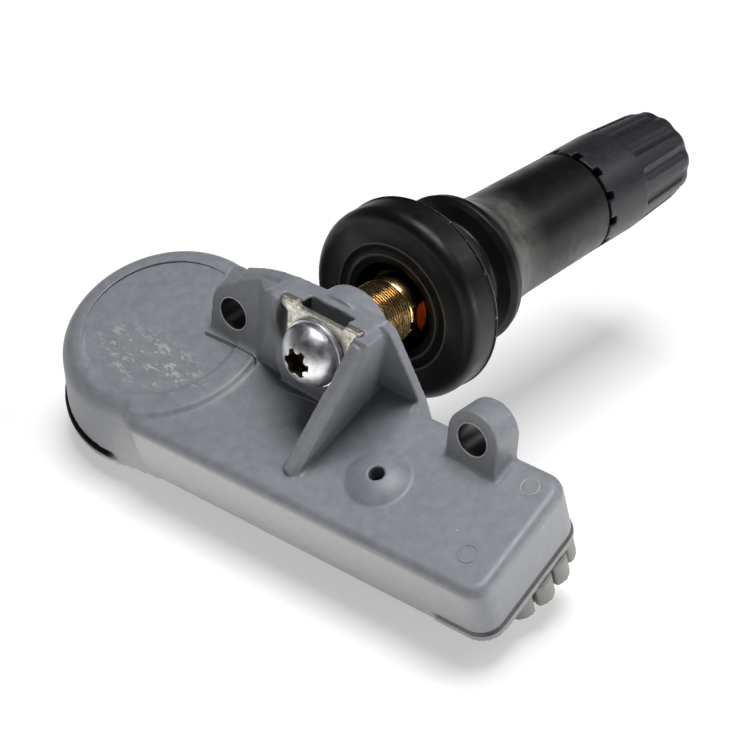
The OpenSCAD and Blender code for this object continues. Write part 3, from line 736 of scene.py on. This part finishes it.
housingLook = {
    "voxel": 0.15,
    "relax": 4,
    "keep": 0.4,
    # blocks, and a rod at the cell, that fill the room inside, so that the skin wraps the outside only
    "fillers": [
        ((-15.5, -8.2, 0.45), (6.6, 3.8, 6.3)),
        ((11.8, -8.2, 0.45), (23.3, 3.8, 6.3)),
        ((6.5, -8.2, 0.45), (11.9, -5.2, 6.3)),
        ((6.5, -0.4, 0.45), (11.9, 3.8, 6.3)),
    ],
    "cellRoom": {"radius": 9.0, "height": 6.1, "foot": 0.5},
    # the step from the battery end down to the body, clear of the left ear
    "step": {"inner": 9.4, "outer": 13.4, "left": -19.4, "back": 0.7, "lowest": 7.1, "passes": 10},
}
cellRoom = housingLook["cellRoom"]
cellFrame = wallFrame @ Matrix.Translation(Vector((*layout["batteryCentre"], cellRoom["foot"])) * mm)
housingPiece = skinPiece(
    "housing", "housingMoulding", housingNylon, "sensor", housingLook,
    [block(*ends, wallFrame) for ends in housingLook["fillers"]]
    + [rod(cellRoom["radius"], cellRoom["height"], cellFrame)], wallFrame)


def onBatteryStep(place):
    step = housingLook["step"]
    x, y, z = (wallInverse @ place) / mm
    reach = math.hypot(x - layout["batteryCentre"][0], y - layout["batteryCentre"][1])
    beside = x > step["left"] and y < step["back"]
    return beside and step["inner"] < reach < step["outer"] and z > step["lowest"]


soften(housingPiece, onBatteryStep, housingLook["step"]["passes"])

# the round mark sunk into the battery end, deepest at the far left and running out level at the right
markLook = {
    "radius": 8.05,
    "from": 62,  # degrees
    "to": 236,
    "steps": 40,
    "depth": 0.2,
    "level": 0.06,  # share of the radius at which the floor comes level with the top
    "cutHeight": 1.5,
}


def sunkMark():
    rim = []
    for k in range(markLook["steps"] + 1):
        a = math.radians(markLook["from"] + (markLook["to"] - markLook["from"]) * k / markLook["steps"])
        rim.append(Vector((markLook["radius"] * math.cos(a), markLook["radius"] * math.sin(a), 0)))
    chord = (rim[0] + rim[-1]) / 2
    outward = Vector((chord.y - rim[0].y, rim[0].x - chord.x, 0)).normalized()
    outward = -outward if outward.x > 0 else outward
    centre = Vector((*layout["batteryCentre"], layout["batteryTop"]))
    places = []
    for corner in rim:
        reach = (corner - chord).dot(outward) / markLook["radius"]
        sunk = markLook["depth"] * (reach - markLook["level"])
        places.append(wallFrame @ ((centre + corner - Vector((0, 0, sunk))) * mm))
    return prism(places, wallFrame.to_3x3() @ Vector((0, 0, markLook["cutHeight"] * mm)))


cutBy(housingPiece, sunkMark(), "sunkMarkTool")

# painted shade and pale flash, partly a painted highlight, along the roots on the top
rootLines = {
    "earFootCrease": {
        "material": creaseShade, "thickness": 0.11, "height": layout["batteryTop"] - 0.01,
        "points": [(-15.46, 1.85), (-12.45, 2.07), (-9.65, 2.06), (-8.95, 1.85), (-8.77, 1.4)]},
    "pocketFloorFlash": {
        "material": flashHighlightNylon, "thickness": 0.1, "height": layout["bodyTop"] + 0.01,
        "points": [(-5.6, 0.5), (-4.2, 0.62), (-2.6, 0.85), (-0.9, 1.08)]},
    "gussetFootFlash": {
        "material": flashHighlightNylon, "thickness": 0.1, "height": layout["bodyTop"] + 0.01,
        "points": [(2.62, -5.2), (2.72, -3.6), (2.85, -1.6), (2.93, 1.2), (3.0, 4.5)]},
    "rightEarFootFlash": {
        "material": flashHighlightNylon, "thickness": 0.1, "height": layout["bodyTop"] + 0.01,
        "points": [(12.9, 2.66), (13.76, 2.4), (15.6, 2.5), (17.4, 2.8), (18.62, 3.1), (18.62, 5.2)]},
}
for name, line in rootLines.items():
    bead([(x, y, line["height"]) for x, y in line["points"]], line["thickness"], name, line["material"],
         "sensor", bodyFrame)

# two ejector marks: the near one with a painted highlight, the far one in the nylon's own grey
ejectorMarks = {
    "near": {"centre": (21.62, 3.76), "radius": 0.85, "material": rimHighlightNylon},
    "far": {"centre": (21.21, -4.78), "radius": 0.9, "material": housingNylon},
}
ejectorLook = {"thickness": 0.09, "steps": 32}
for name, ejector in ejectorMarks.items():
    x, y = ejector["centre"]
    ring = [(x + dx, y + dy, layout["bodyTop"]) for dx, dy in circle(ejector["radius"], ejectorLook["steps"])]
    bead(ring, ejectorLook["thickness"], name + "EjectorRing", ejector["material"],
         "sensor", bodyFrame, closed=True)

# a painted highlight round the rim of each ear hole
earRim = {"radius": 1.66, "station": -2.17, "thickness": 0.13, "steps": 40}
for name, x in layout["ears"].items():
    ring = [along(earRim["station"], x + dx, dz - layout["earDrop"])
            for dx, dz in circle(earRim["radius"], earRim["steps"])]
    bead(ring, earRim["thickness"], name + "EarHoleRim", rimHighlightNylon, "sensor", Matrix.Identity(4), closed=True)
print("housing made")

coverLook = {
    "voxel": 0.13,
    "relax": 2,
    "keep": 0.5,
    "filler": ((-17, -7.5, -2.5), (22.2, 2.9, -0.4)),  # closes the tray for the skin
}
skinPiece("bottom_cover", "coverMoulding", coverNylon, "sensor", coverLook,
          [block(*coverLook["filler"], wallFrame)], wallFrame)
print("cover made")

plateLook = {"voxel": 0.08, "relax": 3}
skinPiece("saddle_plate", "saddlePlateTinned", tinnedSteel, "sensor", plateLook)

screwLook = {
    "headFace": -8.1,  # station of the dome's flat
    "faceRadius": 0.9,
    "domeRadius": 3.35,
    "domeCentre": -4.9,
    "domeAngles": range(20, 66, 5),
    "headRadius": 3.05,
    "headEdge": -6.2,
    "seat": -5.8,
    "seatRound": 0.15,
    "shankRadius": 1.4,
    "shankEnd": 3.4,
    "shankRound": 0.2,
    "sides": 96,
    "lobeReach": 1.4,
    "lobeSwing": 0.135,  # share of the reach, to each side of the mean
    "lobes": 6,
    "recessDepth": 1.5,
    "recessLead": 0.6,  # the tool starts before the head
    "shadeFrom": 0.12,  # depth in the recess
    "edgeAngle": 40,
    "edgeWidth": 0.11,
}


def screwProfile(look):
    radius, dome = look["domeRadius"], []
    for a in (math.radians(degrees) for degrees in look["domeAngles"]):
        dome.append((radius * math.sin(a), look["domeCentre"] - radius * math.cos(a), 0))
    return [(0, look["headFace"], 0), (look["faceRadius"], look["headFace"], 0), *dome,
            (look["headRadius"], look["headEdge"], 0), (look["headRadius"], look["seat"], look["seatRound"]),
            (look["shankRadius"], look["seat"], 0),
            (look["shankRadius"], look["shankEnd"], look["shankRound"]), (0, look["shankEnd"], 0)]


def sixLobeTool(look):
    outline = []
    for k in range(look["sides"]):
        a = math.tau * k / look["sides"]
        reach = look["lobeReach"] * (1 - look["lobeSwing"] + look["lobeSwing"] * math.cos(look["lobes"] * a))
        place = along(look["headFace"] - look["recessLead"], reach * math.cos(a), reach * math.sin(a))
        outline.append(place * mm)
    return prism(outline, (0, (look["recessDepth"] + look["recessLead"]) * mm, 0))


screwHead = spunPiece(screwProfile(screwLook), "clampScrewDomed", polishedSteel,
                      "screw", "clamp_screw", screwLook["sides"], closed=False)
cutBy(screwHead, sixLobeTool(screwLook), "sixLobeTool")
# the recess's inside takes the painted shade
screwHead.data.materials.append(recessShadeSteel)
for face in screwHead.data.polygons:
    across = math.hypot(face.center.x, face.center.z) / mm
    deep = screwLook["headFace"] + screwLook["shadeFrom"] < stationOf(face.center) < screwLook["seat"]
    if deep and across < screwLook["lobeReach"]:
        face.material_index = 1
keepSharp(screwHead, screwLook["edgeAngle"], screwLook["edgeWidth"])

washerLook = {"radius": 3.3, "bore": 1.5, "face": -5.8, "back": -5.2, "edge": 0.12, "sides": 96}
spunPiece([(washerLook["bore"], washerLook["face"], 0),
           (washerLook["radius"], washerLook["face"], washerLook["edge"]),
           (washerLook["radius"], washerLook["back"], washerLook["edge"]),
           (washerLook["bore"], washerLook["back"], 0)],
          "screwWasherTurned", polishedSteel, "washer", "screw_washer", washerLook["sides"])
print("plate and screw made")

stemLook = {
    "screwBore": 1.46,
    "boreEnd": 4.2,
    "foot": 0.3,
    "footRadius": 2.95,
    "ridgeRadius": 3.1,
    "ridgeRoot": 2.97,
    "ridgeStart": 0.4,
    "ridgePitch": 0.3,  # a little coarser than the real one, so that it shows
    "ridgeTop": 0.11,
    "ridgeSlope": 0.2,
    "ridges": 14,
    "neckStart": 4.7,
    "tubeRadius": 3.3,
    "tubeStart": 6.3,
    "threadRadius": 3.85,
    "threadRoot": 3.5,
    "threadStart": 32.6,
    "threadRunIn": 1.2,
    "threadPitch": 0.794,
    "threadSlope": 0.3,
    "turns": 14,
    "chamferStart": 44.8,
    "chamferRadius": 3.45,
    "end": 45.2,
    "coreBore": 2.3,
    "coreEnd": 30.0,
    "airBore": 1.3,
    "sides": 144,
    "crossHole": {"radius": 0.45, "station": 4.75, "turn": 96, "length": 20, "sides": 32},
    "flat": {"face": 2.76, "from": 4.98, "to": 6.28, "out": 4.2, "half": 4},
    "edgeAngle": 35,
}


def stemProfile(look):
    corners = [(look["screwBore"], look["foot"]), (look["footRadius"], look["foot"])]
    for k in range(look["ridges"]):
        s = look["ridgeStart"] + k * look["ridgePitch"]
        corners += [(look["ridgeRadius"], s), (look["ridgeRadius"], s + look["ridgeTop"]),
                    (look["ridgeRoot"], s + look["ridgeSlope"])]
    corners += [(look["ridgeRadius"], look["neckStart"]), (look["ridgeRadius"], look["tubeStart"]),
                (look["tubeRadius"], look["tubeStart"]), (look["tubeRadius"], look["threadStart"]),
                (look["threadRadius"], look["threadStart"])]
    for k in range(look["turns"]):
        s = look["threadStart"] + look["threadRunIn"] + k * look["threadPitch"]
        corners += [(look["threadRadius"], s), (look["threadRoot"], s + look["threadSlope"]),
                    (look["threadRadius"], s + 2 * look["threadSlope"])]
    corners += [(look["threadRadius"], look["chamferStart"]), (look["chamferRadius"], look["end"]),
                (look["coreBore"], look["end"]), (look["coreBore"], look["coreEnd"]),
                (look["airBore"], look["coreEnd"]), (look["airBore"], look["boreEnd"]),
                (look["screwBore"], look["boreEnd"])]
    return [(radius, station, 0) for radius, station in corners]


stem = spunPiece(stemProfile(stemLook), "stemTurnedBrass", turnedBrass, "sensor", "stem_insert",
                 stemLook["sides"])
hole = stemLook["crossHole"]
holeFrame = (Matrix.Translation(along(hole["station"]) * mm)
             @ Matrix.Rotation(math.radians(hole["turn"]), 4, "Y")
             @ Matrix.Translation((0, 0, -hole["length"] / 2 * mm)))
cutBy(stem, rod(hole["radius"], hole["length"], holeFrame, hole["sides"]), "crossHoleTool")
flat = stemLook["flat"]
cutBy(stem, block(along(flat["from"], flat["face"], -flat["half"]),
                  along(flat["to"], flat["out"], flat["half"]), Matrix.Identity(4)), "stemFlatTool")
keepSharp(stem, stemLook["edgeAngle"])
print("brass insert made")

rubberLook = {
    "face": 5.3,
    "ribs": [(0.15, 0.08, 0.08), (0.12, 0.06, 0.06)],  # half width at the foot and at the top, height
    "sides": 200,
    # stretches of the profile as radius, station and rounding
    "well": [(3.13, 8.5, 0), (4.4, 8.5, 0.25), (4.4, 5.3, 0.18)],
    "flangeEdge": [(9.57, 5.3, 1.25)],
    "partingRing": [(9.5, 8.62, 0.05), (9.62, 8.70, 0.03), (9.62, 8.84, 0.03), (9.47, 8.95, 0.05)],
    "flangeBack": [(9.3, 9.3, 0.5), (7.0, 10.6, 0.5)],
    "rimGroove": [(5.75, 11.0, 0.5), (5.75, 13.6, 0.4)],
    "bulb": [(7.0, 14.2, 0.3), (7.42, 14.62, 0.05), (7.5, 14.74, 0.03), (7.5, 14.88, 0.03),
             (7.36, 15.0, 0.05), (7.3, 15.6, 0.3), (6.7, 16.5, 0.6)],
    "taper": [(5.95, 17.8, 1.2), (5.55, 19.4, 2.0), (5.42, 21.4, 0), (5.28, 32.6, 0.2)],
    "lip": [(4.3, 32.6, 0), (4.3, 34.02, 0.1), (3.88, 34.02, 0), (3.88, 32.6, 0)],
    "bore": [(3.36, 32.6, 0), (3.36, 6.5, 0), (3.13, 6.4, 0)],
}


def rubberProfile(look):
    ribs = []
    for radius, (foot, top, height) in zip(layout["faceRibs"], look["ribs"]):
        ribs += [(radius - foot, look["face"], 0), (radius - top, look["face"] - height, 0),
                 (radius + top, look["face"] - height, 0), (radius + foot, look["face"], 0)]
    return [*look["well"], *ribs, *look["flangeEdge"], *look["partingRing"], *look["flangeBack"],
            *look["rimGroove"], *look["bulb"], *look["taper"], *look["lip"], *look["bore"]]


spunPiece(rubberProfile(rubberLook), "valveRubberMoulded", valveRubber, "sensor", "valve_rubber",
          rubberLook["sides"])
print("rubber made")

capLook = {
    "voxel": 0.11,
    "relax": 3,
    "keep": 0.5,
    "tipStart": 46.3,
    "tipRadius": 2.4,
    "tipPasses": 60,
}
capPiece = skinPiece("valve_cap", "valveCapMoulded", capNylon, "cap", capLook)
soften(capPiece, lambda place: stationOf(place) > capLook["tipStart"]
       and math.hypot(place.x, place.z) > capLook["tipRadius"] * mm, capLook["tipPasses"])
print("cap made")

white = (1, 1, 1, 1)
studio = {
    "floorDrop": 0.05,  # under the lowest point
    "floorReach": 1500,
    "floorColor": "#cdcdcd",
    "floorRoughness": 0.9,
    "floorLift": 0.44,  # added for the camera, so that the table goes white and keeps its shadow
    "mirrorLift": 0.6,  # added where metal and gloss show the table
    "worldStrength": 0.03,
    "plain": (1.0, 1.0, 1.0),
    "table": (1.0, 0.95, 0.87),
}
# each lamp's place, target, size, how bright its face is, and its tint;
# the lit tables stand in for light off the table round the part
lamps = {
    "softboxAbove": ((0, 0, 2000), (0, 0, 0), (1000, 1000), 12.0, "plain"),
    "softboxBehind": ((200, 330, 320), (0, 20, 0), (200, 200), 3.0, "plain"),
    "litTableFront": ((4, -38, -20.2), (4, -38, 100), (48, 28), 1.25, "table"),
    "litTableRight": ((46, 2, -20.2), (46, 2, 100), (26, 50), 1.5, "table"),
    "lowSoftboxRight": ((350, 60, 40), (0, 0, 0), (200, 120), 5.6, "plain"),
}


def whiteTable():
    # matt white laminate: it takes the part's shadow, and is white elsewhere
    material, tree, shader = newMaterial("whiteTable")
    shader.inputs["Base Color"].default_value = hexColor(studio["floorColor"])
    shader.inputs["Roughness"].default_value = studio["floorRoughness"]
    rays = addNode(tree, "ShaderNodeLightPath").outputs
    mirrored = calc(tree, "MAXIMUM", rays["Is Glossy Ray"], rays["Is Transmission Ray"])
    lift = calc(tree, "ADD", product(tree, rays["Is Camera Ray"], studio["floorLift"]),
                product(tree, mirrored, studio["mirrorLift"]))
    glow = addNode(tree, "ShaderNodeEmission", links={"Color": white, "Strength": lift}).outputs[0]
    both = addNode(tree, "ShaderNodeAddShader", links={0: shader.outputs[0], 1: glow}).outputs[0]
    tree.links.new(both, tree.nodes["Material Output"].inputs["Surface"])
    return material


low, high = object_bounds()
mesh = bmesh.new()
bmesh.ops.create_grid(mesh, x_segments=1, y_segments=1, size=studio["floorReach"] * mm,
                      matrix=Matrix.Translation((0, 0, low.z - studio["floorDrop"] * mm)))
data = meshData(mesh, "floor")
floor = linkObject("floor", data)
floor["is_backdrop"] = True
data.materials.append(whiteTable())

world = bpy.data.worlds.new("paleStudio")
bpy.context.scene.world = world
world.use_nodes = True
tree = world.node_tree
dim = tree.nodes["Background"]
dim.inputs["Color"].default_value = white
dim.inputs["Strength"].default_value = studio["worldStrength"]
bright = addNode(tree, "ShaderNodeBackground", links={"Color": white, "Strength": 1.0})
rays = addNode(tree, "ShaderNodeLightPath").outputs
backdrop = addNode(tree, "ShaderNodeMixShader", links={
    "Fac": rays["Is Camera Ray"], 1: dim.outputs[0], 2: bright.outputs[0]})
tree.links.new(backdrop.outputs[0], tree.nodes["World Output"].inputs["Surface"])

for name, (place, target, size, radiance, tint) in lamps.items():
    lamp = bpy.data.lights.new(name, "AREA")
    lamp.shape = "RECTANGLE"
    lamp.size, lamp.size_y = [side * mm for side in size]
    lamp.energy = radiance * math.pi * lamp.size * lamp.size_y
    lamp.color = studio[tint]
    holder = linkObject(name, lamp)
    holder.location = Vector(place) * mm
    holder.rotation_euler = (Vector(target) - Vector(place)).to_track_quat("-Z", "Y").to_euler()
    holder.visible_camera = False

photoCamera = {
    "place": (120.122, -166.544, 126.321),
    "right": (0.76496, 0.64032, 0.06940),
    "up": (-0.40256, 0.39122, 0.82758),
    "look": (-0.50277, 0.66101, -0.55704),
    "focalPixels": 2563.56,
    "framePixels": 750,
    "sensor": 36,
    "clip": (10, 10000),
}
cameraData = bpy.data.cameras.new("photoCamera")
cameraData.sensor_width = photoCamera["sensor"]
cameraData.lens = photoCamera["focalPixels"] * photoCamera["sensor"] / photoCamera["framePixels"]
cameraData.clip_start, cameraData.clip_end = [end * mm for end in photoCamera["clip"]]
camera = linkObject("photoCamera", cameraData)
right, up, look = (Vector(photoCamera[key]).normalized() for key in ("right", "up", "look"))
turn = Matrix((right, up, -look)).transposed()
camera.matrix_world = Matrix.Translation(Vector(photoCamera["place"]) * mm) @ turn.to_4x4()
bpy.context.scene.camera = camera
bpy.context.scene.view_settings.view_transform = "Standard"
print("floor, light and camera set")

low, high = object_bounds()
